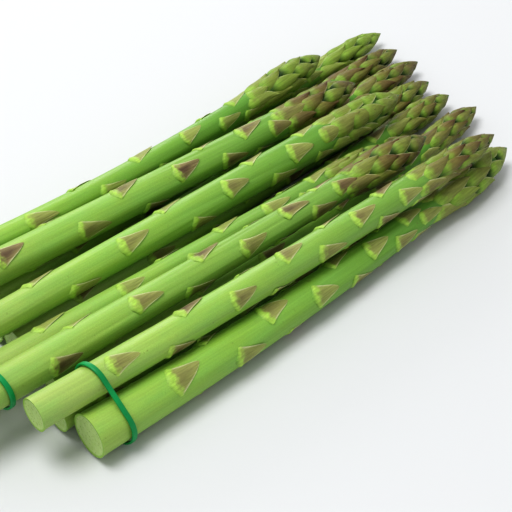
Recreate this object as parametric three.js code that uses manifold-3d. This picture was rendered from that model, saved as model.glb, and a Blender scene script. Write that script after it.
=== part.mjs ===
// A bundle of green asparagus lying on a table: fourteen spears, eight below and six on top. Two
// rubber bands each hold three of them near their cut ends, and the others lie loose alongside. Each
// spear grew as one piece, stem, bracts and scaly head together, so it is one mesh. Units are
// millimetres. +X runs along the spears to their tips, +Y across them to the far side, +Z up from the
// table. The group's origin is under the middle of the bundle, on the table.
import * as THREE from "three";
import { mergeVertices } from "three/addons/utils/BufferGeometryUtils.js";
import Module from "manifold-3d";

const wasm = await Module();
wasm.setup();

const DEG = Math.PI / 180;

// ---- Driving dimensions ----------------------------------------------------------------------------

// The spears in the order they are laid down. tip is where the tip lies along X, and head is the
// length of the scaly head. girth is the diameter at the cut end, at the neck and over the head's
// scales. side gives Y at the cut end and at the tip. bow bends the middle sideways, and rise lifts
// the tip out of line. The scale leaves stand in a spiral. first is how far below the tip the topmost
// bract on the bare stem has its foot, turn where round the stem it stands, and spiral how far round
// the next one is, in degrees. growth is how much longer each space between two bracts is than the
// one above it.
const SPEARS = [
  {
    name: "spear_01", tip: 132, length: 234, head: 58, girth: [17.6, 11.6, 17],
    side: [-28.5, -12.5], bow: -4.5, rise: 0,
    first: 64, growth: 0.38, turn: -170, spiral: -138,
  },
  {
    name: "spear_02", tip: 60, length: 164, head: 40, girth: [11.6, 10.0, 11.6],
    side: [-12, -9], bow: 0, rise: 0,
    first: 44, growth: 0.5, turn: 250, spiral: 137.5,
  },
  {
    name: "spear_03", tip: 146, length: 242, head: 44, girth: [11.4, 10.2, 12.6],
    side: [3, 18], bow: -6, rise: 0,
    first: 48, growth: 0.5, turn: 80, spiral: -137.5,
  },
  {
    name: "spear_04", tip: 143, length: 238, head: 44, girth: [10.4, 9.6, 12.6],
    side: [15.2, 32], bow: 0, rise: 0,
    first: 47, growth: 0.5, turn: 310, spiral: 137.5,
  },
  {
    name: "spear_05", tip: 144, length: 240, head: 44, girth: [11.4, 10.2, 12.6],
    side: [26.5, 45.5], bow: 0, rise: 0,
    first: 48, growth: 0.5, turn: 150, spiral: -137.5,
  },
  {
    name: "spear_06", tip: 151, length: 247, head: 48, girth: [11.6, 10.4, 12.8],
    side: [41.5, 59.5], bow: 0, rise: 0,
    first: 50, growth: 0.5, turn: 200, spiral: 137.5,
  },
  {
    name: "spear_07", tip: 151, length: 245, head: 48, girth: [11.6, 10.2, 12.6],
    side: [54.5, 73], bow: 0, rise: 0,
    first: 50, growth: 0.5, turn: 40, spiral: -137.5,
  },
  {
    name: "spear_08", tip: 155, length: 246, head: 50, girth: [11.0, 9.6, 12.4],
    side: [67.5, 88], bow: -1.5, rise: 0,
    first: 52, growth: 0.5, turn: 120, spiral: 137.5,
  },
  {
    name: "spear_09", tip: 119, length: 236, head: 50, girth: [13.0, 12.2, 12.6],
    side: [-18.6, -15], bow: -2, rise: 0,
    first: 51, growth: 0.46, turn: -140, spiral: 138.5,
  },
  {
    name: "spear_10", tip: 86, length: 230, head: 42, girth: [11.2, 10.6, 13.0],
    side: [14.2, 12.8], bow: 0, rise: 0,
    first: 38, growth: 0.58, turn: 20, spiral: -135,
  },
  {
    name: "spear_11", tip: 94, length: 240, head: 50, girth: [14.6, 10.8, 15.6],
    side: [0.8, 0.3], bow: 0, rise: 2,
    first: 46, growth: 0.62, turn: -20, spiral: 138,
  },
  {
    name: "spear_12", tip: 113, length: 245, head: 50, girth: [12.2, 14.4, 16.4],
    side: [26.8, 34.8], bow: 0, rise: 0,
    first: 52, growth: 0.7, turn: 40, spiral: -144.5,
  },
  {
    name: "spear_13", tip: 104, length: 240, head: 48, girth: [14.6, 12.6, 15.4],
    side: [56, 53], bow: -1.5, rise: 0,
    first: 42, growth: 0.54, turn: -120, spiral: -137,
  },
  {
    name: "spear_14", tip: 108, length: 238, head: 52, girth: [10.8, 10.6, 14.8],
    side: [71.5, 80], bow: -8, rise: 0,
    first: 48, growth: 0.62, turn: 150, spiral: -134,
  },
];

// The rubber bands: where each lies along X, and the spears it goes round.
const BANDS = [
  { name: "band_near", at: -92, holds: ["spear_01", "spear_02", "spear_09"] },
  { name: "band_far", at: -121, holds: ["spear_10", "spear_11", "spear_12"] },
];
// How far a band leans from square across the spears: its X per unit of Y.
const BAND_LEAN = -0.15;
const BAND_WIDTH = 2.4;
const BAND_THICKNESS = 1.0;
const BAND_FIT = 0.35; // space between a band and the spears in it
const BAND_ROOM = BAND_THICKNESS + BAND_FIT;

const BRACT_STAND = 0.5; // how far the bracts make a stem wider, for what lies against it
const LAY_GAP = 0.3; // space left between spears that touch
const STATION = 4; // spacing of the cross-sections at which spears are laid on each other

const STEM_SIDES = 8;
const STEM_PARTS = 5; // lengths the stem is divided in, so that it can bend
const SPACE = 2.2; // space between the topmost two bracts
const HEAD_SCALES = 24;
// Only every second scale leaf of the spiral is made, from the topmost bract on: the leaves are few
// and full size, and still stand on all sides.
const EVERY = 2;
const CLEAR_BUTT = 6; // the lowest bract has its foot at least this far from the cut end
const SCALE_STAND = 1.2; // how far the head's scales stand off its core
const WIDEST = 0.4; // where along the head it is widest

// ---- A spear's outline -------------------------------------------------------------------------------

// How the head narrows to its point: 1 up to its widest place and 0 at the tip.
const headTaper = (h) => 1 - Math.pow(Math.max(0, h - WIDEST) / (1 - WIDEST), 3);

// Radius of the smooth core at a distance s from the cut end.
function coreRadius(spear, s) {
  const [butt, neck, head] = spear.girth.map((d) => d / 2);
  const neckAt = spear.length - spear.head;
  if (s <= neckAt) return butt + (neck - butt) * (s / neckAt);
  const h = Math.min(1, (s - neckAt) / spear.head);
  const widest = head - SCALE_STAND;
  if (h < WIDEST) return neck + (widest - neck) * THREE.MathUtils.smoothstep(h, 0, WIDEST);
  return widest * headTaper(h);
}

// Radius that holds the bracts and scales too.
function fullRadius(spear, s) {
  const h = Math.max(0, (s - (spear.length - spear.head)) / spear.head);
  return coreRadius(spear, s) + BRACT_STAND + (SCALE_STAND - BRACT_STAND) * Math.min(1, 4 * h);
}

const buttX = (spear) => spear.tip - spear.length;

function sideAt(spear, x) {
  const u = (x - buttX(spear)) / spear.length;
  const [atButt, atTip] = spear.side;
  return atButt + (atTip - atButt) * u + spear.bow * 4 * u * (1 - u);
}

const riseAt = (spear, x) => spear.rise * Math.pow((x - buttX(spear)) / spear.length, 4);

function heightAt(spear, x) {
  return spear.heightAtButt + spear.slope * (x - buttX(spear)) + riseAt(spear, x);
}

// ---- Laying the spears down ----------------------------------------------------------------------------

// The band, if any, that takes up room at x between spears a and b, or between a and the table.
function bandBetween(a, b, x) {
  return BANDS.some((band) => {
    const near = Math.abs(x - band.at) < BAND_WIDTH / 2 + STATION;
    return near && band.holds.includes(a.name) && !(b && band.holds.includes(b.name));
  });
}

// The least height at x that keeps a spear off the table and off the spears under it.
function leastHeight(spear, laid, x) {
  const own = fullRadius(spear, x - buttX(spear));
  let height = own + (bandBetween(spear, null, x) ? BAND_ROOM - BRACT_STAND : 0);
  for (const other of laid) {
    if (x < buttX(other) || x > other.tip) continue;
    const room = bandBetween(spear, other, x) || bandBetween(other, spear, x) ? BAND_ROOM : 0;
    const reach = own + fullRadius(other, x - buttX(other)) + LAY_GAP + room;
    const across = sideAt(spear, x) - sideAt(other, x);
    if (Math.abs(across) < reach) {
      height = Math.max(height, heightAt(other, x) + Math.sqrt(reach * reach - across * across));
    }
  }
  return height;
}

// A straight spear comes to rest on the two highest supports either side of its middle.
function layDown(spear, laid) {
  const points = [];
  for (let x = buttX(spear); x <= spear.tip; x += STATION) {
    points.push(new THREE.Vector2(x, leastHeight(spear, laid, x) - riseAt(spear, x)));
  }
  const middle = buttX(spear) + spear.length * 0.48;
  const hull = [];
  for (const p of points) {
    while (hull.length > 1) {
      const [a, b] = hull.slice(-2);
      if ((b.x - a.x) * (p.y - a.y) - (b.y - a.y) * (p.x - a.x) < 0) break;
      hull.pop();
    }
    hull.push(p);
  }
  const right = hull.findIndex((p) => p.x > middle);
  const [a, b] = [hull[right - 1], hull[right]];
  spear.slope = (b.y - a.y) / (b.x - a.x);
  spear.heightAtButt = a.y + spear.slope * (buttX(spear) - a.x);
}

const laid = [];
for (const spear of SPEARS) {
  layDown(spear, laid);
  laid.push(spear);
}

// ---- Solids ----------------------------------------------------------------------------------------------

// A closed three.js geometry as a manifold solid.
function solidOf(geometry) {
  const bare = geometry.clone();
  bare.deleteAttribute("normal");
  bare.deleteAttribute("uv");
  const merged = mergeVertices(bare, 1e-4);
  const index = merged.index.array;
  const kept = [];
  for (let i = 0; i < index.length; i += 3) {
    const [a, b, c] = index.subarray(i, i + 3);
    if (a !== b && b !== c && c !== a) kept.push(a, b, c);
  }
  return new wasm.Manifold(
    new wasm.Mesh({
      numProp: 3,
      vertProperties: merged.attributes.position.array,
      triVerts: new Uint32Array(kept),
    }),
  );
}

function geometryOf(solid) {
  const mesh = solid.getMesh();
  return new THREE.BufferGeometry()
    .setAttribute("position", new THREE.BufferAttribute(mesh.vertProperties, 3))
    .setIndex(new THREE.BufferAttribute(mesh.triVerts, 1));
}

// Moves every vertex of a geometry by a function of its position.
function reshape(geometry, move) {
  const position = geometry.attributes.position;
  const p = new THREE.Vector3();
  for (let i = 0; i < position.count; i++) {
    move(p.fromBufferAttribute(position, i));
    position.setXYZ(i, p.x, p.y, p.z);
  }
  return geometry;
}

// The stem and the head's core, straight along Y from the cut end at 0.
function core(spear) {
  const neckAt = spear.length - spear.head;
  const stations = [];
  for (let i = 0; i <= STEM_PARTS; i++) stations.push((neckAt * i) / STEM_PARTS);
  for (const h of [0.18, 0.35, 0.6, 0.8, 0.93]) stations.push(neckAt + spear.head * h);
  const profile = [new THREE.Vector2(0, 0)];
  for (const s of stations) profile.push(new THREE.Vector2(coreRadius(spear, s), s));
  profile.push(new THREE.Vector2(0, spear.length));
  return solidOf(new THREE.LatheGeometry(profile, STEM_SIDES));
}

// One scale leaf: a pointed blade that clasps the core. It starts as a closed three-sided prism. One
// edge becomes the crown along its middle and the other two its margins, and the flat back between
// the margins passes inside the core, which joins the two. width and lift give its width and how far
// the crown stands off the core at each row from the foot to the point.
function scaleLeaf(spear, { at, angle, length, halfWidth, width, lift, tuck }) {
  const rows = lift.length - 1;
  const blade = new THREE.CylinderGeometry(1, 1, 1, 3, rows);
  reshape(blade, (p) => {
    const row = Math.round((p.y + 0.5) * rows);
    const s = at + (p.y + 0.5) * length;
    const radius = Math.max(0.8, coreRadius(spear, s));
    const turn = angle + (p.x * halfWidth * width[row]) / Math.max(radius, coreRadius(spear, at) * 0.6);
    const stand = p.z > 0.9 ? lift[row] : row === rows ? lift[row] - tuck : 0.15;
    const out = radius + stand * headTaper((s - spear.length + spear.head) / spear.head);
    p.set(out * Math.sin(turn), s, out * Math.cos(turn));
  });
  return solidOf(blade);
}

// The scale leaf whose place in the spiral is n: a bract of the bare stem from 0 on, counted towards
// the cut end, and a scale of the head below 0, counted towards the tip.
function leafAt(spear, n) {
  const angle = (spear.turn + n * spear.spiral) * DEG;
  const neckAt = spear.length - spear.head;
  if (n >= 0) {
    const at = spear.length - spear.first - SPACE * n - (spear.growth / 2) * n * (n - 1);
    const halfWidth = 0.5 + 0.62 * coreRadius(spear, at);
    return { at, angle, length: 11.5, halfWidth, width: [1, 0.1], lift: [0.6, 0.4], tuck: 0.9 };
  }
  const h = (-n - 1.4) / HEAD_SCALES;
  return {
    at: neckAt + spear.head * (0.84 * h - 0.04),
    angle,
    length: spear.head * (0.3 - 0.12 * h),
    halfWidth: (spear.girth[2] / 2) * (0.74 - 0.34 * h),
    width: [0.9, 0.95, 0.1],
    lift: [0.35, SCALE_STAND, SCALE_STAND],
    tuck: 0.8,
  };
}

// The scale leaves that a spear carries. None lies under a rubber band.
function scaleLeaves(spear) {
  const leaves = [];
  const bands = BANDS.filter((band) => band.holds.includes(spear.name)).map((band) => band.at - buttX(spear));
  for (let n = -HEAD_SCALES; leafAt(spear, n).at > CLEAR_BUTT; n += EVERY) {
    const leaf = leafAt(spear, n);
    const middle = leaf.at + leaf.length / 2;
    if (!bands.some((at) => Math.abs(at - middle) < BAND_WIDTH + leaf.length / 2)) leaves.push(leaf);
  }
  return leaves;
}

// Bends a straight spear along its own line through the bundle.
function place(spear, geometry) {
  const x0 = buttX(spear);
  const point = (s) => new THREE.Vector3(x0 + s, sideAt(spear, x0 + s), heightAt(spear, x0 + s));
  return reshape(geometry, (p) => {
    const along = point(p.y + 1).sub(point(p.y - 1)).normalize();
    const across = new THREE.Vector3(along.y, -along.x, 0).normalize();
    const up = new THREE.Vector3().crossVectors(across, along);
    const centre = point(p.y);
    p.set(
      centre.x + across.x * p.x + up.x * p.z,
      centre.y + across.y * p.x + up.y * p.z,
      centre.z + across.z * p.x + up.z * p.z,
    );
  });
}

function spearGeometry(spear) {
  const solid = scaleLeaves(spear).reduce((whole, leaf) => whole.add(scaleLeaf(spear, leaf)), core(spear));
  return place(spear, geometryOf(solid));
}

// ---- Rubber bands --------------------------------------------------------------------------------------

// Outline of a string pulled tight round circles, each given as { y, z, r }.
function tightOutline(circles, grow) {
  const points = [];
  for (const c of circles) {
    for (let a = 0; a < 360; a += 15) {
      points.push([c.y + (c.r + grow) * Math.cos(a * DEG), c.z + (c.r + grow) * Math.sin(a * DEG)]);
    }
  }
  points.sort((p, q) => p[0] - q[0] || p[1] - q[1]);
  const half = (list) => {
    const chain = [];
    for (const p of list) {
      while (chain.length > 1) {
        const [a, b] = chain.slice(-2);
        if ((b[0] - a[0]) * (p[1] - a[1]) - (b[1] - a[1]) * (p[0] - a[0]) > 1e-6) break;
        chain.pop();
      }
      chain.push(p);
    }
    return chain.slice(0, -1);
  };
  return [...half(points), ...half([...points].reverse())].map(([y, z]) => new THREE.Vector2(y, z));
}

function bandGeometry(band) {
  const circles = SPEARS.filter((s) => band.holds.includes(s.name)).map((s) => ({
    y: sideAt(s, band.at),
    z: heightAt(s, band.at),
    r: coreRadius(s, band.at - buttX(s)),
  }));
  const middle = circles.reduce((sum, c) => sum + c.y, 0) / circles.length;
  const shape = new THREE.Shape(tightOutline(circles, BAND_ROOM));
  shape.holes.push(new THREE.Path(tightOutline(circles, BAND_FIT)));
  const loop = new THREE.ExtrudeGeometry(shape, { depth: BAND_WIDTH, bevelEnabled: false, curveSegments: 1 });
  // The outline is drawn in Y and Z, so the extrusion's own axes turn round to run along X.
  return reshape(loop, (p) => {
    p.set(band.at - BAND_WIDTH / 2 + p.z + BAND_LEAN * (p.x - middle), p.x, p.y);
  });
}

// ---- The bundle --------------------------------------------------------------------------------------------

const spearGreen = new THREE.MeshStandardMaterial({ color: 0x7fb83f, roughness: 0.5, metalness: 0 });
const bandGreen = new THREE.MeshStandardMaterial({ color: 0x0f8a5f, roughness: 0.45, metalness: 0 });

const bundle = new THREE.Group();
const pieces = [
  ...SPEARS.map((spear) => ({ name: spear.name, geometry: spearGeometry(spear), material: spearGreen })),
  ...BANDS.map((band) => ({ name: band.name, geometry: bandGeometry(band), material: bandGreen })),
];
for (const { name, geometry, material } of pieces) {
  const mesh = new THREE.Mesh(geometry, material);
  mesh.name = name;
  bundle.add(mesh);
}

const box = new THREE.Box3().setFromObject(bundle);
const centre = box.getCenter(new THREE.Vector3());
bundle.position.set(-centre.x, -centre.y, -box.min.z);

export default bundle;
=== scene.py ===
import math
import random

import bmesh
import bpy
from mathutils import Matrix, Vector


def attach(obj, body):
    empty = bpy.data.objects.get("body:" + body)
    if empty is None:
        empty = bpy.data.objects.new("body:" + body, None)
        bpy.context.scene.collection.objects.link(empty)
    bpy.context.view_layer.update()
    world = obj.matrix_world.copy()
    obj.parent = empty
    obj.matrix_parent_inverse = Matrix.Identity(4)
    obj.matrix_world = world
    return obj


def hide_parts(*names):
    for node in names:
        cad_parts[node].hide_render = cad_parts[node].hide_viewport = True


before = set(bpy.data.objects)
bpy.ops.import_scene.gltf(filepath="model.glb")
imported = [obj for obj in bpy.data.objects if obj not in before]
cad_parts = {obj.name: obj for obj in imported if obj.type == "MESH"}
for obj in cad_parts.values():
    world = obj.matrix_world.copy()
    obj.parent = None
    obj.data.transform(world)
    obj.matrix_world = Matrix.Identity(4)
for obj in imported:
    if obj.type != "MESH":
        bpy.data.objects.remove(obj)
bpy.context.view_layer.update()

# ---- Spears --------------------------------------------------------------------------------------
# Fourteen green asparagus spears, each a fleshy shoot that grew as one piece. The stem carries
# papery bracts in a spiral, and the head is the same spiral closed up until the scales overlap.
# Each is drawn straight, in millimetres, and then bent to lie in the bundle.

# butt and tip are the two ends of the middle line. bow bends the middle sideways, and rise lifts
# the tip. head is the length of the scaly head, and girth the diameter at the cut end, at the neck
# and over the scales. first is how far below the tip the topmost bract has its foot, growth how
# much each space between bracts adds to the one above, turn where the topmost bract stands and
# spiral how far round the next one is, in degrees. purple and pale set the spear's own colour.
spears = {
    "spear_01": dict(butt=(-106.47, -55.12, 10.07), tip=(127.53, -39.12, 8.25), bow=-4.5, rise=0,
                     head=58, girth=(17.6, 11.6, 17), first=64, growth=0.38, turn=-170,
                     spiral=-138, purple=0.35, pale=0.3),
    "spear_02": dict(butt=(-108.47, -38.62, 7.20), tip=(55.53, -35.62, 5.58), bow=0, rise=0,
                     head=40, girth=(11.6, 10, 11.6), first=44, growth=0.5, turn=250,
                     spiral=137.5, purple=0.5, pale=0.4),
    "spear_03": dict(butt=(-100.47, -23.62, 6.20), tip=(141.53, -8.62, 6.31), bow=-6, rise=0,
                     head=44, girth=(11.4, 10.2, 12.6), first=48, growth=0.5, turn=80,
                     spiral=-137.5, purple=0.8, pale=0.2),
    "spear_04": dict(butt=(-99.47, -11.42, 5.70), tip=(138.53, 5.38, 6.37), bow=0, rise=0,
                     head=44, girth=(10.4, 9.6, 12.6), first=47, growth=0.5, turn=310,
                     spiral=137.5, purple=0.6, pale=0.3),
    "spear_05": dict(butt=(-100.47, -0.12, 10.06), tip=(139.53, 18.88, 5.88), bow=0, rise=0,
                     head=44, girth=(11.4, 10.2, 12.6), first=48, growth=0.5, turn=150,
                     spiral=-137.5, purple=0.7, pale=0.4),
    "spear_06": dict(butt=(-100.47, 14.88, 6.30), tip=(146.53, 32.88, 6.42), bow=0, rise=0,
                     head=48, girth=(11.6, 10.4, 12.8), first=50, growth=0.5, turn=200,
                     spiral=137.5, purple=1.0, pale=0.2),
    "spear_07": dict(butt=(-98.47, 27.88, 7.31), tip=(146.53, 46.38, 6.17), bow=0, rise=0,
                     head=48, girth=(11.6, 10.2, 12.6), first=50, growth=0.5, turn=40,
                     spiral=-137.5, purple=0.95, pale=0.3),
    "spear_08": dict(butt=(-95.47, 40.88, 8.60), tip=(150.53, 61.38, 5.90), bow=-1.5, rise=0,
                     head=50, girth=(11, 9.6, 12.4), first=52, growth=0.5, turn=120,
                     spiral=137.5, purple=0.1, pale=0.5),
    "spear_09": dict(butt=(-121.47, -45.22, 23.51), tip=(114.53, -41.62, 23.49), bow=-2, rise=0,
                     head=50, girth=(13, 12.2, 12.6), first=51, growth=0.46, turn=-140,
                     spiral=138.5, purple=0.75, pale=0.6),
    "spear_10": dict(butt=(-148.47, -12.42, 17.62), tip=(81.53, -13.82, 17.61), bow=0, rise=0,
                     head=42, girth=(11.2, 10.6, 13), first=38, growth=0.58, turn=20,
                     spiral=-135, purple=0.3, pale=0.6),
    "spear_11": dict(butt=(-150.47, -25.82, 22.17), tip=(89.53, -26.32, 24.08), bow=0, rise=2,
                     head=50, girth=(14.6, 10.8, 15.6), first=46, growth=0.62, turn=-20,
                     spiral=138, purple=0.9, pale=0.7),
    "spear_12": dict(butt=(-136.47, 0.18, 24.65), tip=(108.53, 8.18, 19.02), bow=0, rise=0,
                     head=50, girth=(12.2, 14.4, 16.4), first=52, growth=0.7, turn=40,
                     spiral=-144.5, purple=0.35, pale=0.4),
    "spear_13": dict(butt=(-140.47, 29.38, 21.82), tip=(99.53, 26.38, 19.87), bow=-1.5, rise=0,
                     head=48, girth=(14.6, 12.6, 15.4), first=42, growth=0.54, turn=-120,
                     spiral=-137, purple=0.85, pale=0.5),
    "spear_14": dict(butt=(-134.47, 44.88, 21.17), tip=(103.53, 53.38, 18.60), bow=-8, rise=0,
                     head=52, girth=(10.8, 10.6, 14.8), first=48, growth=0.62, turn=150,
                     spiral=-134, purple=0.2, pale=0.3),
}

MM = 0.001
WIDEST = 0.4  # where along the head it is widest
SCALE_STAND = 1.2  # how far the scales make the head wider than its core
HEAD_SCALES = 24  # scales from the neck to the top of the head
APEX_SCALES = 3  # smaller ones that close its point
FIRST_SPACE = 2.2  # space between the topmost two bracts
BRACT_LENGTH = 11.5
BRACT_GROWTH = 1.5  # how much longer the bracts get over the first twelve
CLEAR_BUTT = 6  # no bract stands nearer the cut end
# where each rubber band crosses the spears that it holds
bands = {
    "band_near": dict(at=-96.47, holds=("spear_01", "spear_02", "spear_09")),
    "band_far": dict(at=-125.47, holds=("spear_10", "spear_11", "spear_12")),
}
BAND_ROOM = 2.4  # no bract stands nearer the middle of a band
MERGE = 1e-4  # points nearer than this become one
LEAF, CUT = 1, 2  # places of their materials on a spear, after the skin's 0


def smoothstep(t):
    """0 up to t = 0 and 1 from t = 1 on, with a soft start and end between them."""
    t = min(1.0, max(0.0, t))
    return t * t * (3 - 2 * t)


def stem_length(spear):
    """Length of the straight spear, from its cut end to its tip."""
    return spear["tip"][0] - spear["butt"][0]


def head_taper(h):
    """How the head narrows to its point, 1 up to its widest place and 0 at the tip."""
    return 1 - (max(0.0, h - WIDEST) / (1 - WIDEST)) ** 3


def core_radius(spear, s):
    """Radius of the smooth flesh under the scales, s from the cut end."""
    butt, neck, head = (d / 2 for d in spear["girth"])
    neck_at = stem_length(spear) - spear["head"]
    if s <= neck_at:
        return butt + (neck - butt) * s / neck_at
    h = min(1.0, (s - neck_at) / spear["head"])
    widest = head - SCALE_STAND
    if h < WIDEST:
        return neck + (widest - neck) * smoothstep(h / WIDEST)
    return widest * head_taper(h)


def leaf_at(spear, n):
    """Foot, angle, length and half width of the scale leaf whose place in the spiral is n: a bract
    from 0 on, counted towards the cut end, and a scale of the head below 0."""
    length = stem_length(spear)
    angle = math.radians(spear["turn"] + n * spear["spiral"])
    if n >= 0:
        at = length - spear["first"] - FIRST_SPACE * n - spear["growth"] / 2 * n * (n - 1)
        long = BRACT_LENGTH + BRACT_GROWTH * min(1, n / 12)
        return at, angle, long, 0.5 + 0.76 * core_radius(spear, at)
    # the scales get shorter and narrower up the head, and the last ones' points close its tip
    h = (-n - 1.4) / HEAD_SCALES
    at = length - spear["head"] + spear["head"] * (0.84 * h - 0.04)
    return at, angle, spear["head"] * (0.37 - 0.15 * h), spear["girth"][2] / 2 * (0.82 - 0.3 * h)


def on_core(spear, s, angle, out):
    """A point of the straight spear: s along it, at an angle round it, out from the core."""
    radius = core_radius(spear, s) + out
    return Vector((radius * math.sin(angle), s, radius * math.cos(angle)))


STEM_AROUND, STEM_ALONG = 72, 140  # faces of a spear round it and along it
BROAD_RIB, FINE_RIB = 0.11, 0.06  # heights of the low ribs that run along the stem
RIB_INSET = 0.15  # how far the skin keeps inside the stem's full radius, to make room for them
FURROWS = 7
FURROW_DEPTH = 0.19
FURROW_HALF = 0.5  # half its width
MIDDLING_RADIUS = 6  # of a stem, to turn an angle round it into millimetres
FLESH_DEPTH = 0.7  # how far the flesh sinks under the scales of the head
# the knife leaves the cut face a little hollow: the width of each ring and how far it dips
CUT_RINGS = ((0.35, -0.05), (0.8, -0.1), (1.6, -0.15))
CUT_REACH = 0.4  # faces with all their points nearer the cut end than this belong to the cut


def grow_core(bm, spear, layers, draw):
    """The stem and the flesh of the head, as one tube that closes to a point."""
    length = stem_length(spear)
    neck_at = length - spear["head"]
    phase = draw.uniform(0, 6.28)
    # furrows: where each is, how far it turns, where it starts and how long it is
    furrows = [
        (draw.uniform(0, 6.28), draw.uniform(-0.5, 0.5), draw.uniform(0, 0.7) * neck_at,
         draw.uniform(50, 110))
        for _ in range(FURROWS)
    ]
    tube = bmesh.ops.create_grid(bm, x_segments=STEM_AROUND, y_segments=STEM_ALONG, size=1)["verts"]
    for vert in tube:
        angle = math.pi * (vert.co.x + 1)
        # the rings stand closer together towards the tip
        t = (vert.co.y + 1) / 2
        s = length * (1 - (1 - t) ** 1.25)
        # the ribs turn slowly round the stem, the broad ones one way and the fine ones the other
        broad = BROAD_RIB * math.cos(3 * angle + s / 60 + phase)
        fine = FINE_RIB * math.cos(7 * angle - s / 45)
        out = broad + fine - RIB_INSET
        for where, turn, begins, long in furrows:
            along = (s - begins) / long
            if 0 < along < 1:
                off = math.remainder(angle - where - turn * along, 2 * math.pi) * MIDDLING_RADIUS
                depth = FURROW_DEPTH * math.sin(math.pi * along)
                out -= depth * math.exp(-((off / FURROW_HALF) ** 2))
        out -= FLESH_DEPTH * smoothstep((s - neck_at) / 10)
        # round and even at the cut end and at the tip
        ease = smoothstep(s / 3) * smoothstep((length - s) / 12)
        vert.co = on_core(spear, s, angle, out * ease)
        vert[layers["blade"]] = (0, 0, (s - neck_at) / spear["head"])
    bmesh.ops.remove_doubles(bm, verts=tube, dist=MERGE)
    rim = [edge for edge in bm.edges if edge.is_boundary]
    cut = bmesh.ops.holes_fill(bm, edges=rim, sides=0)["faces"]
    for inset, depth in CUT_RINGS:
        bmesh.ops.inset_region(bm, faces=cut, thickness=inset, depth=depth, use_even_offset=True)
    for face in bm.faces:
        if all(vert.co.y < CUT_REACH for vert in face.verts):
            face.material_index = CUT
            for vert in face.verts:
                from_middle = math.hypot(vert.co.x, vert.co.z) / core_radius(spear, 0)
                vert[layers["blade"]] = (from_middle, 0, -neck_at / spear["head"])


LEAF_ACROSS, LEAF_ALONG = 12, 14  # faces of a leaf across it and along it
RIDGE_AT = 0.13  # where the ridge over a bract's foot is, as a share of its length
RIDGE_HEIGHT = 0.42
BRACT_DEPTH = 0.3  # how deep in the stem a bract's foot starts
BLADE_STAND = 0.16  # how far its blade lies out from the stem
SCALE_DEPTH = 0.75  # how deep in the flesh a head scale's foot starts
BUD_HEIGHT = 0.85  # how far a head scale swells over its bud
BRACT_THICKNESS = 0.28
SCALE_THICKER = 0.3  # how much thicker a head scale is
LEAF_ROUND = 0.8  # the smallest radius that a leaf is wrapped round
TIP_SPACE = 0.05  # every leaf ends this far below the tip of the spear


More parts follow.
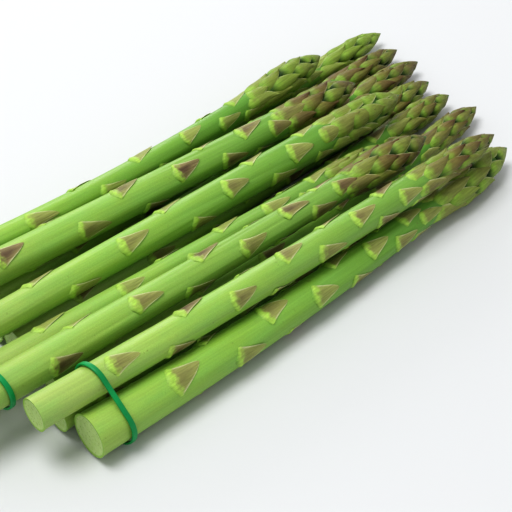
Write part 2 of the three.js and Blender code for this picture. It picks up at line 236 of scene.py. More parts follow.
def grow_leaf(bm, spear, n, layers, draw):
    """One scale leaf: a shell with its foot sunk in the flesh and its point towards the tip."""
    at, angle, long, half = leaf_at(spear, n)
    length = stem_length(spear)
    # closed is 0 for a bract low on the stem and 1 for a scale well up in the head, and up goes
    # from 0 at the neck to 1 at the tip
    closed = smoothstep((6 - n) / 13)
    up = min(1.0, max(0.0, -n / HEAD_SCALES))
    angle += draw.uniform(-0.1, 0.1) * closed
    long = min(long * draw.uniform(0.9, 1.12), length - at)
    half *= draw.uniform(0.92, 1.08)
    # each leaf has its own form: how far its point leans to a side and stands free, how full the
    # bud behind it is, and how far its two margins roll up
    lean = draw.uniform(-0.14, 0.14)
    free = draw.uniform(0.0, 0.3) * (1 - 0.5 * up)
    swell = draw.uniform(0.6, 1.2)
    curl = (draw.uniform(0, 0.4), draw.uniform(0, 0.4))
    tone = draw.random()
    round_at = max(core_radius(spear, at) * 0.6, LEAF_ROUND)
    sheet = bmesh.ops.create_grid(
        bm, x_segments=LEAF_ACROSS, y_segments=LEAF_ALONG, size=1)["verts"]
    # each point's place on the leaf: across it, along it, and 1 on its outer face
    places = {vert: (vert.co.x, (vert.co.y + 1) / 2, 0) for vert in sheet}
    faces = list({face for vert in sheet for face in vert.link_faces})
    shell = bmesh.ops.extrude_face_region(bm, geom=faces)["geom"]
    for vert in [item for item in shell if isinstance(item, bmesh.types.BMVert)]:
        places[vert] = (vert.co.x, (vert.co.y + 1) / 2, 1)
    for vert, (across, v, top) in places.items():
        u = math.sin(across * math.pi / 2)
        # a bract is a triangle with hollow sides, and a scale is a teardrop
        corner = math.sqrt(1 - (1 - min(v / RIDGE_AT, 1)) ** 2)
        bract_width = (0.5 + 0.5 * corner) * (1 - v) ** 0.8 * (1 - 0.18 * math.sin(math.pi * v))
        scale_width = (0.65 + 0.35 * smoothstep(v / 0.28)) * (1 - v ** 2)
        width = half * (bract_width + (scale_width - bract_width) * closed)
        # the foot bulges down the stem
        foot = (0.32 - 0.1 * closed) * half * (1 - u * u) * (1 - v) ** 2
        s = min(at + long * v - foot, length - TIP_SPACE)
        taper = head_taper((s - length + spear["head"]) / spear["head"])
        radius = max(core_radius(spear, s), round_at)
        turned = angle + (u * width + lean * long * v * v) / radius
        # the foot of a bract rises out of the stem to a ridge, and its thin blade lies on the stem
        ridge = RIDGE_HEIGHT * math.exp(-(((v - RIDGE_AT) / 0.08) ** 2)) * (1 - 0.5 * u * u)
        rolled = curl[across > 0] * abs(u) ** 5 * smoothstep((v - 0.2) / 0.3) * (1 - v)
        blade = BLADE_STAND * smoothstep(v / 0.1) + free * v ** 3 + rolled
        risen = (BRACT_DEPTH + blade + ridge) * smoothstep(v / RIDGE_AT)
        bract_out = -BRACT_DEPTH + risen - 0.14 * u ** 4 * (1 - v)
        # a scale swells over the bud behind it, its sides sink, and its point lies on those above
        rise = -SCALE_DEPTH + (0.5 + SCALE_STAND) * v ** 0.65
        bud = BUD_HEIGHT * swell * math.exp(-(((v - 0.36) / 0.22) ** 2)) * (1 - u * u)
        sunk = (1.65 - 0.6 * up) * u * u * (1 - 0.5 * v)
        scale_out = rise + bud - sunk + 0.15 * (1 - abs(u)) * v + free * v ** 4 + 0.4 * rolled
        out = bract_out + (scale_out - bract_out) * closed
        thickness = (BRACT_THICKNESS + SCALE_THICKER * closed) * (1 - 0.4 * u * u) * (1 - 0.6 * v)
        thick = 0 if top else thickness
        vert.co = on_core(spear, s, turned, (out - thick) * taper)
        vert[layers["blade"]] = (u, v, (at - length + spear["head"]) / spear["head"])
        vert[layers["tone"]] = tone
    bmesh.ops.remove_doubles(bm, verts=list(places), dist=MERGE)
    faces = list({face for vert in places if vert.is_valid for face in vert.link_faces})
    for face in faces:
        face.material_index = LEAF
    bmesh.ops.recalc_face_normals(bm, faces=faces)


def middle_at(spear, s):
    """The middle of the spear as it lies in the bundle, s from the cut end."""
    butt, tip = Vector(spear["butt"]), Vector(spear["tip"])
    u = s / stem_length(spear)
    line = butt + (tip - butt) * u
    return line + Vector((0, spear["bow"] * 4 * u * (1 - u), spear["rise"] * u ** 4))


def lay_in_bundle(spear, point):
    """Moves a point of the straight spear to its place in the bundle."""
    along = (middle_at(spear, point.y + 1) - middle_at(spear, point.y - 1)).normalized()
    across = Vector((along.y, -along.x, 0)).normalized()
    return middle_at(spear, point.y) + across * point.x + across.cross(along) * point.z


def make_object(name, bm, materials):
    """Turns a bmesh into an object of the scene, with its materials."""
    mesh = bpy.data.meshes.new(name)
    bm.to_mesh(mesh)
    bm.free()
    for material in materials:
        mesh.materials.append(material)
    made = bpy.data.objects.new(name, mesh)
    bpy.context.scene.collection.objects.link(made)
    return made


SMOOTH_UNDER = 50  # faces that meet at less than these degrees are shaded as one


def make_spear(name, spear):
    """One spear: its core, bracts and head scales, bent to lie in the bundle."""
    draw = random.Random(name)
    bm = bmesh.new()
    # what the materials read at each point: its place on the straight spear, its place on a leaf
    # or a cut and along the head, the spear's own purple and pale, and the leaf's own tone
    layers = {
        "straight": bm.verts.layers.float_vector.new("straight"),
        "blade": bm.verts.layers.float_vector.new("blade"),
        "kin": bm.verts.layers.float_vector.new("kin"),
        "tone": bm.verts.layers.float.new("tone"),
    }
    grow_core(bm, spear, layers, draw)
    under_bands = [
        band["at"] - spear["butt"][0] for band in bands.values() if name in band["holds"]]
    n = -HEAD_SCALES - APEX_SCALES
    while leaf_at(spear, n)[0] > CLEAR_BUTT:
        at, _, long, _ = leaf_at(spear, n)
        # no bract lies under a rubber band
        if all(abs(s - at - long / 2) > BAND_ROOM + long / 2 for s in under_bands):
            grow_leaf(bm, spear, n, layers, draw)
        n += 1
    shade = draw.uniform(0, 100)
    for vert in bm.verts:
        vert[layers["straight"]] = vert.co + Vector((shade, 0, 0))
        vert[layers["kin"]] = (spear["purple"], spear["pale"], 0)
        vert.co = lay_in_bundle(spear, vert.co) * MM
        vert.co.z = max(vert.co.z, 0)  # a bract under the spear is pressed flat on the table
    piece = make_object(name + "_fine", bm, (stem_skin, scale_leaf_skin, cut_flesh))
    piece.data.shade_smooth()
    piece.data.set_sharp_from_angle(angle=math.radians(SMOOTH_UNDER))
    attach(piece, "root")
    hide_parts(name)


def linear(hex_colour):
    """An sRGB hex colour as the linear RGBA that Blender's sockets take."""
    values = [int(hex_colour[i:i + 2], 16) / 255 for i in (1, 3, 5)]
    return [v / 12.92 if v <= 0.04045 else ((v + 0.055) / 1.055) ** 2.4 for v in values] + [1]


def add_node(tree, kind, inputs=(), **settings):
    """Adds a node with its settings, and gives each named input a value or a link."""
    made = tree.nodes.new(kind)
    for setting, value in settings.items():
        setattr(made, setting, value)
    for socket, value in dict(inputs).items():
        if isinstance(value, bpy.types.NodeSocket):
            tree.links.new(value, made.inputs[socket])
        else:
            made.inputs[socket].default_value = value
    return made


def new_material(name):
    """An empty node material, and its node tree."""
    material = bpy.data.materials.new(name)
    material.use_nodes = True
    material.node_tree.nodes.clear()
    return material, material.node_tree


def skin_green(tree, straight, blade_parts, kin_parts):
    """Colour of the skin, pale at the cut end and deeper up the stem, and its pattern of bloom."""
    # -4 at the cut end, 0 at the neck and 1 at the tip
    height = add_node(tree, "ShaderNodeMapRange", {
        "Value": blade_parts.outputs["Z"], "From Min": -4.0, "From Max": 0.6,
    })
    growing = add_node(tree, "ShaderNodeValToRGB", {"Fac": height.outputs["Result"]})
    growing.color_ramp.elements[0].color = linear("#abbe70")
    growing.color_ramp.elements[1].color = linear("#4a8823")
    for place, colour in ((0.35, "#94bd4e"), (0.7, "#71a43b"), (0.88, "#549129")):
        growing.color_ramp.elements.new(place).color = linear(colour)
    pale_share = add_node(tree, "ShaderNodeMath", {
        0: kin_parts.outputs["Y"], 1: 0.5,
    }, operation="MULTIPLY")
    paled = add_node(tree, "ShaderNodeMix", {
        "Factor": pale_share.outputs[0], "A": growing.outputs["Color"], "B": linear("#b2c476"),
    }, data_type="RGBA")
    # bloom in patches about 25 mm long and 8 mm wide
    bloom_place = add_node(tree, "ShaderNodeMapping", {
        "Vector": straight, "Scale": (0.13, 0.04, 0.13),
    })
    bloom = add_node(tree, "ShaderNodeTexNoise", {
        "Vector": bloom_place.outputs["Vector"], "Scale": 1.0, "Detail": 4.0, "Roughness": 0.6,
    })
    bloom_share = add_node(tree, "ShaderNodeMapRange", {
        "Value": bloom.outputs["Fac"], "From Min": 0.4, "From Max": 0.75, "To Max": 0.5,
    })
    # it wears thin towards the head
    bloom_left = add_node(tree, "ShaderNodeMapRange", {
        "Value": height.outputs["Result"], "From Min": 0.45, "From Max": 0.8,
        "To Min": 1.0, "To Max": 0.35,
    })
    bloom_seen = add_node(tree, "ShaderNodeMath", {
        0: bloom_share.outputs["Result"], 1: bloom_left.outputs["Result"],
    }, operation="MULTIPLY")
    bloomed = add_node(tree, "ShaderNodeMix", {
        "Factor": bloom_seen.outputs[0], "A": paled.outputs["Result"], "B": linear("#84bb64"),
    }, data_type="RGBA")
    return bloomed.outputs["Result"], bloom.outputs["Fac"]


# Fresh asparagus skin: a smooth waxy cuticle over green flesh. The eye sees a satin sheen, fine
# lines along the stem, a faint blue-green bloom in patches, and green that deepens up the stem.
stem_skin, tree = new_material("asparagus_stem_skin")
straight = add_node(tree, "ShaderNodeAttribute", attribute_name="straight").outputs["Vector"]
blade = add_node(tree, "ShaderNodeAttribute", attribute_name="blade").outputs["Vector"]
kin = add_node(tree, "ShaderNodeAttribute", attribute_name="kin").outputs["Vector"]
blade_parts = add_node(tree, "ShaderNodeSeparateXYZ", {"Vector": blade})
kin_parts = add_node(tree, "ShaderNodeSeparateXYZ", {"Vector": kin})
green, bloom_pattern = skin_green(tree, straight, blade_parts, kin_parts)
# veins under the skin, about 0.7 mm apart, drawn out along the stem
vein_place = add_node(tree, "ShaderNodeMapping", {"Vector": straight, "Scale": (1.5, 0.03, 1.5)})
veins = add_node(tree, "ShaderNodeTexNoise", {
    "Vector": vein_place.outputs["Vector"], "Scale": 1.0, "Detail": 3.0, "Roughness": 0.55,
})
vein_tone = add_node(tree, "ShaderNodeMapRange", {
    "Value": veins.outputs["Fac"], "From Min": 0.3, "From Max": 0.7, "To Min": 0.92, "To Max": 1.06,
})
veined = add_node(tree, "ShaderNodeMix", {
    "Factor": 1.0, "A": green, "B": vein_tone.outputs["Result"],
}, data_type="RGBA", blend_type="MULTIPLY")
# breathing pores, too fine to see singly, drawn 0.4 mm across as a soft grain
pores = add_node(tree, "ShaderNodeTexNoise", {"Vector": straight, "Scale": 2.4, "Detail": 2.0})
pore_tone = add_node(tree, "ShaderNodeMapRange", {
    "Value": pores.outputs["Fac"], "From Min": 0.35, "From Max": 0.7,
    "To Min": 0.95, "To Max": 1.05,
})
grained = add_node(tree, "ShaderNodeMix", {
    "Factor": 1.0, "A": veined.outputs["Result"], "B": pore_tone.outputs["Result"],
}, data_type="RGBA", blend_type="MULTIPLY")
# a few small bruises, 1 to 2 mm long, from handling
bruises = add_node(tree, "ShaderNodeTexNoise", {"Vector": straight, "Scale": 0.38, "Detail": 3.0})
bruise_share = add_node(tree, "ShaderNodeMapRange", {
    "Value": bruises.outputs["Fac"], "From Min": 0.7, "From Max": 0.78, "To Max": 0.55,
})
bruised = add_node(tree, "ShaderNodeMix", {
    "Factor": bruise_share.outputs["Result"],
    "A": grained.outputs["Result"], "B": linear("#6f7a3c"),
}, data_type="RGBA")
# painted shade: the flesh seen between the scales of the head is darkened to a deep green, as if in
# the shade of the scales over it
in_head = add_node(tree, "ShaderNodeMapRange", {
    "Value": blade_parts.outputs["Z"], "From Min": 0.02, "From Max": 0.25, "To Max": 0.8,
}, interpolation_type="SMOOTHSTEP")
flesh_shaded = add_node(tree, "ShaderNodeMix", {
    "Factor": in_head.outputs["Result"], "A": bruised.outputs["Result"], "B": linear("#3f6420"),
}, data_type="RGBA")
skin_height = add_node(tree, "ShaderNodeMath", {
    0: veins.outputs["Fac"], 1: pores.outputs["Fac"],
}, operation="ADD")
skin_bump = add_node(tree, "ShaderNodeBump", {
    "Height": skin_height.outputs[0], "Strength": 0.35, "Distance": 0.00012,
})
sheen = add_node(tree, "ShaderNodeMapRange", {
    "Value": bloom_pattern, "From Min": 0.3, "From Max": 0.7, "To Min": 0.34, "To Max": 0.48,
})
waxy_skin = add_node(tree, "ShaderNodeBsdfPrincipled", {
    "Base Color": flesh_shaded.outputs["Result"], "Roughness": sheen.outputs["Result"],
    "Normal": skin_bump.outputs["Normal"], "Subsurface Weight": 0.1,
    "Subsurface Radius": (0.5, 1.0, 0.2), "Subsurface Scale": 0.0012, "Specular IOR Level": 0.38,
    "Sheen Weight": 0.04, "Sheen Roughness": 0.35,
})
add_node(tree, "ShaderNodeOutputMaterial", {"Surface": waxy_skin.outputs["BSDF"]})

# Scale leaves: thin dry skin on a fleshy foot. The eye sees a lime ridge at the foot, a tan to
# purple body with fine veins, and pale margins, and in the head olive green with brown points.
scale_leaf_skin, tree = new_material("asparagus_scale_leaf")
straight = add_node(tree, "ShaderNodeAttribute", attribute_name="straight").outputs["Vector"]
blade = add_node(tree, "ShaderNodeAttribute", attribute_name="blade").outputs["Vector"]
kin = add_node(tree, "ShaderNodeAttribute", attribute_name="kin").outputs["Vector"]
tone = add_node(tree, "ShaderNodeAttribute", attribute_name="tone").outputs["Fac"]
blade_parts = add_node(tree, "ShaderNodeSeparateXYZ", {"Vector": blade})
kin_parts = add_node(tree, "ShaderNodeSeparateXYZ", {"Vector": kin})
side = add_node(tree, "ShaderNodeMath", {0: blade_parts.outputs["X"]}, operation="ABSOLUTE")
in_head = add_node(tree, "ShaderNodeMapRange", {
    "Value": blade_parts.outputs["Z"], "From Min": -0.3, "From Max": 0.3,
}, interpolation_type="SMOOTHSTEP")
# some leaves of a spear are more purple than others
tone_range = add_node(tree, "ShaderNodeMapRange", {"Value": tone, "To Min": 0.4, "To Max": 1.35})
purple = add_node(tree, "ShaderNodeMath", {
    0: kin_parts.outputs["X"], 1: tone_range.outputs["Result"],
}, operation="MULTIPLY", use_clamp=True)
# blotches about 3 mm across pull the colours a little up and down the leaf
mottle = add_node(tree, "ShaderNodeTexNoise", {"Vector": straight, "Scale": 0.35, "Detail": 2.0})
mottle_shift = add_node(tree, "ShaderNodeMapRange", {
    "Value": mottle.outputs["Fac"], "From Min": 0.25, "From Max": 0.75,
    "To Min": -0.1, "To Max": 0.1,
})
ragged = add_node(tree, "ShaderNodeMath", {
    0: blade_parts.outputs["Y"], 1: mottle_shift.outputs["Result"],
}, operation="ADD")
# the lime foot fades out over the lowest third of a bract, and over the lower half of a head scale
foot_end = add_node(tree, "ShaderNodeMapRange", {
    "Value": in_head.outputs["Result"], "To Min": 0.32, "To Max": 0.52,
})
past_foot = add_node(tree, "ShaderNodeMapRange", {
    "Value": ragged.outputs[0], "From Min": 0.13, "From Max": foot_end.outputs["Result"],
}, interpolation_type="SMOOTHSTEP")
near_point = add_node(tree, "ShaderNodeMapRange", {
    "Value": ragged.outputs[0], "From Min": 0.4, "From Max": 1.0,
}, interpolation_type="SMOOTHSTEP")
tan_body = add_node(tree, "ShaderNodeMix", {
    "Factor": purple.outputs[0], "A": linear("#a4b263"), "B": linear("#968a60"),
}, data_type="RGBA")
olive_body = add_node(tree, "ShaderNodeMix", {
    "Factor": purple.outputs[0], "A": linear("#88a145"), "B": linear("#847a45"),
}, data_type="RGBA")
body = add_node(tree, "ShaderNodeMix", {
    "Factor": in_head.outputs["Result"],
    "A": tan_body.outputs["Result"], "B": olive_body.outputs["Result"],
}, data_type="RGBA")
foot = add_node(tree, "ShaderNodeMix", {
    "Factor": in_head.outputs["Result"], "A": linear("#b2d562"), "B": linear("#93b44b"),
}, data_type="RGBA")
# the butt side of the ridge runs into the green of the stem
green, _ = skin_green(tree, straight, blade_parts, kin_parts)
off_stem = add_node(tree, "ShaderNodeMapRange", {
    "Value": blade_parts.outputs["Y"], "From Min": 0.02, "From Max": 0.14, "To Max": 0.85,
}, interpolation_type="SMOOTHSTEP")
risen = add_node(tree, "ShaderNodeMix", {
    "Factor": off_stem.outputs["Result"], "A": green, "B": foot.outputs["Result"],
}, data_type="RGBA")
footed = add_node(tree, "ShaderNodeMix", {
    "Factor": past_foot.outputs["Result"],
    "A": risen.outputs["Result"], "B": body.outputs["Result"],
}, data_type="RGBA")
# a bract is darkest in the middle and dries to tan, and a head scale darkens to its point
point_most = add_node(tree, "ShaderNodeMapRange", {
    "Value": in_head.outputs["Result"], "To Min": 0.2, "To Max": 1.0,
})
heart_rise = add_node(tree, "ShaderNodeMapRange", {
    "Value": ragged.outputs[0], "From Min": 0.16, "From Max": 0.34,
}, interpolation_type="SMOOTHSTEP")
heart_fall = add_node(tree, "ShaderNodeMapRange", {
    "Value": ragged.outputs[0], "From Min": 0.35, "From Max": 0.95, "To Min": 0.95, "To Max": 0.0,
}, interpolation_type="SMOOTHSTEP")
heart_inside = add_node(tree, "ShaderNodeMapRange", {
    "Value": side.outputs[0], "From Min": 0.2, "From Max": 0.9, "To Min": 1.0, "To Max": 0.0,
})
heart_high = add_node(tree, "ShaderNodeMath", {
    0: heart_rise.outputs["Result"], 1: heart_fall.outputs["Result"],
}, operation="MULTIPLY")
heart_wide = add_node(tree, "ShaderNodeMath", {
    0: heart_high.outputs[0], 1: heart_inside.outputs["Result"],
}, operation="MULTIPLY")
heart_low = add_node(tree, "ShaderNodeMapRange", {
    "Value": in_head.outputs["Result"], "To Min": 1.0, "To Max": 0.2,
})
heart = add_node(tree, "ShaderNodeMath", {
    0: heart_wide.outputs[0], 1: heart_low.outputs["Result"],
}, operation="MULTIPLY")
heart_purple = add_node(tree, "ShaderNodeMath", {
    0: heart.outputs[0], 1: purple.outputs[0],
}, operation="MULTIPLY")
hearted = add_node(tree, "ShaderNodeMix", {
    "Factor": heart_purple.outputs[0], "A": footed.outputs["Result"], "B": linear("#66523f"),
}, data_type="RGBA")
point_purple = add_node(tree, "ShaderNodeMath", {
    0: near_point.outputs["Result"], 1: purple.outputs[0],
}, operation="MULTIPLY")
point_share = add_node(tree, "ShaderNodeMath", {
    0: point_purple.outputs[0], 1: point_most.outputs["Result"],
}, operation="MULTIPLY", use_clamp=True)
pointed = add_node(tree, "ShaderNodeMix", {
    "Factor": point_share.outputs[0], "A": hearted.outputs["Result"], "B": linear("#5f4630"),
}, data_type="RGBA")
# the closed tip of the head is the darkest part of it
at_tip = add_node(tree, "ShaderNodeMapRange", {
    "Value": blade_parts.outputs["Z"], "From Min": 0.3, "From Max": 0.85, "To Max": 0.75,
}, interpolation_type="SMOOTHSTEP")
tip_share = add_node(tree, "ShaderNodeMath", {
    0: at_tip.outputs["Result"], 1: purple.outputs[0],
}, operation="MULTIPLY")
tipped = add_node(tree, "ShaderNodeMix", {
    "Factor": tip_share.outputs[0], "A": pointed.outputs["Result"], "B": linear("#69623f"),
}, data_type="RGBA")
# painted shade: the part of a head scale that the ones below cover is darkened to a deep green, so
# dark lines show in the crevices where the scales meet
crevice_shade = add_node(tree, "ShaderNodeMapRange", {
    "Value": blade_parts.outputs["Y"], "From Min": 0.06, "From Max": 0.32,
    "To Min": 0.95, "To Max": 0.0,
}, interpolation_type="SMOOTHSTEP")
well_in = add_node(tree, "ShaderNodeMapRange", {
    "Value": blade_parts.outputs["Z"], "From Min": 0.05, "From Max": 0.3,
})
crevice_shade_share = add_node(tree, "ShaderNodeMath", {
    0: crevice_shade.outputs["Result"], 1: well_in.outputs["Result"],
}, operation="MULTIPLY")
crevice_shaded = add_node(tree, "ShaderNodeMix", {
    "Factor": crevice_shade_share.outputs[0], "A": tipped.outputs["Result"], "B": linear("#203c0e"),
}, data_type="RGBA")
# the thin papery margins are pale, most of all on a bract
margin_most = add_node(tree, "ShaderNodeMapRange", {
    "Value": in_head.outputs["Result"], "To Min": 0.75, "To Max": 0.45,
})
margin = add_node(tree, "ShaderNodeMapRange", {
    "Value": side.outputs[0], "From Min": 0.8, "From Max": 1.0,
    "To Max": margin_most.outputs["Result"],
}, interpolation_type="SMOOTHSTEP")
margin_share = add_node(tree, "ShaderNodeMath", {
    0: margin.outputs["Result"], 1: past_foot.outputs["Result"],
}, operation="MULTIPLY")
edged = add_node(tree, "ShaderNodeMix", {
    "Factor": margin_share.outputs[0], "A": crevice_shaded.outputs["Result"], "B": linear("#d9dcae"),
}, data_type="RGBA")
# folds and veins of the leaf, 0.8 mm apart and finer, from foot to point
leaf_vein_place = add_node(tree, "ShaderNodeMapping", {
    "Vector": straight, "Scale": (1.25, 0.09, 1.25),
})
leaf_veins = add_node(tree, "ShaderNodeTexNoise", {
    "Vector": leaf_vein_place.outputs["Vector"], "Scale": 1.0, "Detail": 4.0, "Roughness": 0.65,
})
leaf_vein_tone = add_node(tree, "ShaderNodeMapRange", {
    "Value": leaf_veins.outputs["Fac"], "From Min": 0.3, "From Max": 0.7,
    "To Min": 0.74, "To Max": 1.16,
})
leaf_veined = add_node(tree, "ShaderNodeMix", {
    "Factor": 1.0, "A": edged.outputs["Result"], "B": leaf_vein_tone.outputs["Result"],
}, data_type="RGBA", blend_type="MULTIPLY")
# the veins stand out on the thin blade and not on the fleshy foot
vein_strength = add_node(tree, "ShaderNodeMapRange", {
    "Value": past_foot.outputs["Result"], "To Min": 0.15, "To Max": 0.8,
})
leaf_bump = add_node(tree, "ShaderNodeBump", {
    "Height": leaf_veins.outputs["Fac"], "Strength": vein_strength.outputs["Result"],
    "Distance": 0.0004,
})
dry_leaf = add_node(tree, "ShaderNodeBsdfPrincipled", {
    "Base Color": leaf_veined.outputs["Result"], "Roughness": 0.48,
    "Normal": leaf_bump.outputs["Normal"], "Subsurface Weight": 0.1,
    "Subsurface Radius": (0.6, 1.0, 0.3), "Subsurface Scale": 0.0008, "Specular IOR Level": 0.3,
})
add_node(tree, "ShaderNodeOutputMaterial", {"Surface": dry_leaf.outputs["BSDF"]})

# The cut end: pale moist flesh inside a thin green rind, sliced across with a knife. The eye sees
# the ends of the fibres as darker dots in it.
cut_flesh, tree = new_material("asparagus_cut_flesh")
straight = add_node(tree, "ShaderNodeAttribute", attribute_name="straight").outputs["Vector"]
# the fibres end 1.2 mm apart
fibre_ends = add_node(tree, "ShaderNodeTexVoronoi", {
    "Vector": straight, "Scale": 0.85,
}, feature="F1")
fibre_share = add_node(tree, "ShaderNodeMapRange", {
    "Value": fibre_ends.outputs["Distance"], "From Min": 0.12, "From Max": 0.32,
    "To Min": 0.75, "To Max": 0.0,
})
# paler and greener flesh in patches 2 mm across
flesh_mottle = add_node(tree, "ShaderNodeTexNoise", {
    "Vector": straight, "Scale": 0.5, "Detail": 3.0,
})
flesh = add_node(tree, "ShaderNodeMix", {
    "Factor": flesh_mottle.outputs["Fac"], "A": linear("#c3d596"), "B": linear("#a5c46c"),
}, data_type="RGBA")
dotted = add_node(tree, "ShaderNodeMix", {
    "Factor": fibre_share.outputs["Result"], "A": flesh.outputs["Result"], "B": linear("#7d9a48"),
}, data_type="RGBA")
# the green rind, about 1 mm thick
blade = add_node(tree, "ShaderNodeAttribute", attribute_name="blade").outputs["Vector"]
blade_parts = add_node(tree, "ShaderNodeSeparateXYZ", {"Vector": blade})
rind_share = add_node(tree, "ShaderNodeMapRange", {
    "Value": blade_parts.outputs["X"], "From Min": 0.84, "From Max": 0.97,
}, interpolation_type="SMOOTHSTEP")
rinded = add_node(tree, "ShaderNodeMix", {
    "Factor": rind_share.outputs["Result"], "A": dotted.outputs["Result"], "B": linear("#8bb446"),
}, data_type="RGBA")
cut_bump = add_node(tree, "ShaderNodeBump", {
    "Height": fibre_ends.outputs["Distance"], "Strength": 0.4, "Distance": 0.0003,
})
moist_cut = add_node(tree, "ShaderNodeBsdfPrincipled", {
    "Base Color": rinded.outputs["Result"], "Roughness": 0.45, "Normal": cut_bump.outputs["Normal"],
    "Subsurface Weight": 0.15, "Subsurface Radius": (0.8, 1.0, 0.4), "Subsurface Scale": 0.0015,
})
add_node(tree, "ShaderNodeOutputMaterial", {"Surface": moist_cut.outputs["BSDF"]})

for name, spear in spears.items():
    make_spear(name, spear)

# ---- Rubber bands --------------------------------------------------------------------------------
# Two thin loops of green rubber, each stretched round three spears near their cut ends. They are
# cut from a moulded rubber tube, so the section is a flat ribbon with soft edges.

BAND_WIDTH = 2.0
BAND_THICKNESS = 0.95
BAND_EDGE = 0.35  # radius of its soft edges
BAND_FIT = 0.4  # space between a band and the flesh in it
BAND_LEAN = -0.15  # how far a band leans from square across the spears: its X per unit of Y
BAND_AROUND = 144  # faces round a band
SHARP = 1.2  # in radians: the faces of a band meet at more only along its four long edges

# Moulded natural rubber, coloured through: a dull satin green, paler where it is stretched.
band_rubber, tree = new_material("green_rubber")
place = add_node(tree, "ShaderNodeTexCoord").outputs["Object"]
# powder in specks about 1 mm across, and paler stretches about 8 mm long
powder = add_node(tree, "ShaderNodeTexNoise", {"Vector": place, "Scale": 900.0, "Detail": 3.0})
stretch = add_node(tree, "ShaderNodeTexNoise", {"Vector": place, "Scale": 120.0, "Detail": 2.0})
rubber_tone = add_node(tree, "ShaderNodeMix", {
    "Factor": stretch.outputs["Fac"], "A": linear("#00763c"), "B": linear("#08a85e"),
}, data_type="RGBA")
rubber_bump = add_node(tree, "ShaderNodeBump", {
    "Height": powder.outputs["Fac"], "Strength": 0.3, "Distance": 0.00005,
})
satin_rubber = add_node(tree, "ShaderNodeBsdfPrincipled", {
    "Base Color": rubber_tone.outputs["Result"], "Roughness": 0.42,
    "Normal": rubber_bump.outputs["Normal"], "Specular IOR Level": 0.5,
})
add_node(tree, "ShaderNodeOutputMaterial", {"Surface": satin_rubber.outputs["BSDF"]})


def make_band(name, band):
    """One band: a ribbon drawn tight round its stems, which leans as they do."""
    # each stem that it holds, as the Y and Z of its middle and its radius
    circles = []
    for held in band["holds"]:
        spear = spears[held]
        s = band["at"] - spear["butt"][0]
        centre = middle_at(spear, s)
        circles.append((centre.y, centre.z, core_radius(spear, s)))
    middle = sum((Vector((0, y, z)) for y, z, _ in circles), Vector()) / len(circles)
    bm = bmesh.new()
    loop = bmesh.ops.create_circle(bm, segments=BAND_AROUND, radius=1)["verts"]
    for vert in loop:
        # the ribbon touches whichever stem reaches furthest in this direction
        y, z = vert.co.x, vert.co.y
        touched = max(circles, key=lambda circle: circle[0] * y + circle[1] * z + circle[2])
        out = touched[2] + BAND_FIT
        vert.co = Vector((-BAND_WIDTH / 2, touched[0] + out * y, touched[1] + out * z))
    ring = bmesh.ops.extrude_edge_only(bm, edges=bm.edges[:])["geom"]
    for vert in [item for item in ring if isinstance(item, bmesh.types.BMVert)]:
        vert.co.x += BAND_WIDTH
    # its faces are turned outwards before the wall gets its thickness
    bmesh.ops.recalc_face_normals(bm, faces=bm.faces[:])
    if sum(face.normal.dot(face.calc_center_median() - middle) for face in bm.faces) < 0:
        bmesh.ops.reverse_faces(bm, faces=bm.faces[:])
    bmesh.ops.solidify(bm, geom=bm.faces[:], thickness=-BAND_THICKNESS)
    bmesh.ops.recalc_face_normals(bm, faces=bm.faces[:])
    long_edges = [edge for edge in bm.edges if edge.calc_face_angle(0) > SHARP]
    bmesh.ops.bevel(bm, geom=long_edges, offset=BAND_EDGE, offset_type="OFFSET", affect="EDGES",
                    segments=3, profile=0.5, material=-1)
    for vert in bm.verts:
        x, y, z = vert.co
        vert.co = Vector((band["at"] + x + BAND_LEAN * (y - middle.y), y, z)) * MM
    piece = make_object(name + "_fine", bm, (band_rubber,))
    piece.data.shade_smooth()
    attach(piece, "root")
    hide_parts(name)


for name, band in bands.items():
    make_band(name, band)

# ---- Table, light and camera ---------------------------------------------------------------------
# A plain pale table under soft studio light from almost overhead, with a weaker lamp behind the
# spears, and a long lens that looks down at a slant along them.

TABLE_REACH = 4  # metres from the middle of the table to each side

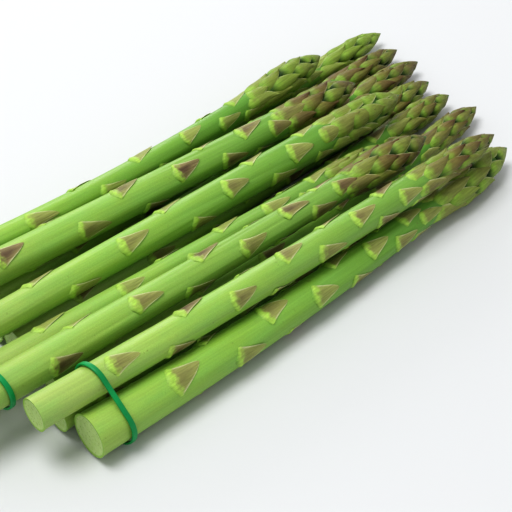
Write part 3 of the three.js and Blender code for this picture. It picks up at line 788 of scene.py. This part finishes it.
# Matt coated paper: an even pale grey with no gloss.
table_paper, tree = new_material("pale_table")
dull_paper = add_node(tree, "ShaderNodeBsdfPrincipled", {
    "Base Color": linear("#d4d5d6"), "Roughness": 0.7,
})
add_node(tree, "ShaderNodeOutputMaterial", {"Surface": dull_paper.outputs["BSDF"]})
bm = bmesh.new()
bmesh.ops.create_grid(bm, x_segments=1, y_segments=1, size=TABLE_REACH)
table = make_object("table", bm, (table_paper,))

world = bpy.data.worlds.new("studio")
world.use_nodes = True
background = world.node_tree.nodes["Background"]
background.inputs["Color"].default_value = linear("#f3f4f5")
background.inputs["Strength"].default_value = 0.52
bpy.context.scene.world = world
bpy.context.scene.view_settings.view_transform = "Standard"
bpy.context.scene.view_settings.look = "High Contrast"


def add_light(name, place, size, watts):
    """A white disk lamp at a place, turned to the middle of the bundle."""
    lamp = bpy.data.lights.new(name, "AREA")
    lamp.shape = "DISK"
    lamp.size = size
    lamp.energy = watts
    light = bpy.data.objects.new(name, lamp)
    light.location = place
    light.rotation_euler = (-Vector(place)).to_track_quat("-Z", "Y").to_euler()
    bpy.context.scene.collection.objects.link(light)


add_light("window", (-0.5, 0.35, 2.1), size=1.26, watts=25.5)
add_light("rim", (0.6, 1.0, 0.4), size=0.5, watts=2.2)

AZIMUTH, ELEVATION = math.radians(-41), math.radians(42)
DISTANCE = 0.6
TARGET = Vector((-0.00447, -0.02659, 0.015))
FOCUS, FRAME = 1540, 512  # focal length and width of the picture, in pixels
SENSOR = 36  # width of the camera's sensor in millimetres
back = Vector((
    math.sin(AZIMUTH) * math.cos(ELEVATION),
    -math.cos(AZIMUTH) * math.cos(ELEVATION),
    math.sin(ELEVATION),
))
lens = bpy.data.cameras.new("camera")
lens.sensor_width = SENSOR
lens.lens = SENSOR * FOCUS / FRAME
lens.clip_start = 0.01
camera = bpy.data.objects.new("camera", lens)
camera.location = TARGET + back * DISTANCE
camera.rotation_euler = (-back).to_track_quat("-Z", "Y").to_euler()
bpy.context.scene.collection.objects.link(camera)
bpy.context.scene.camera = camera
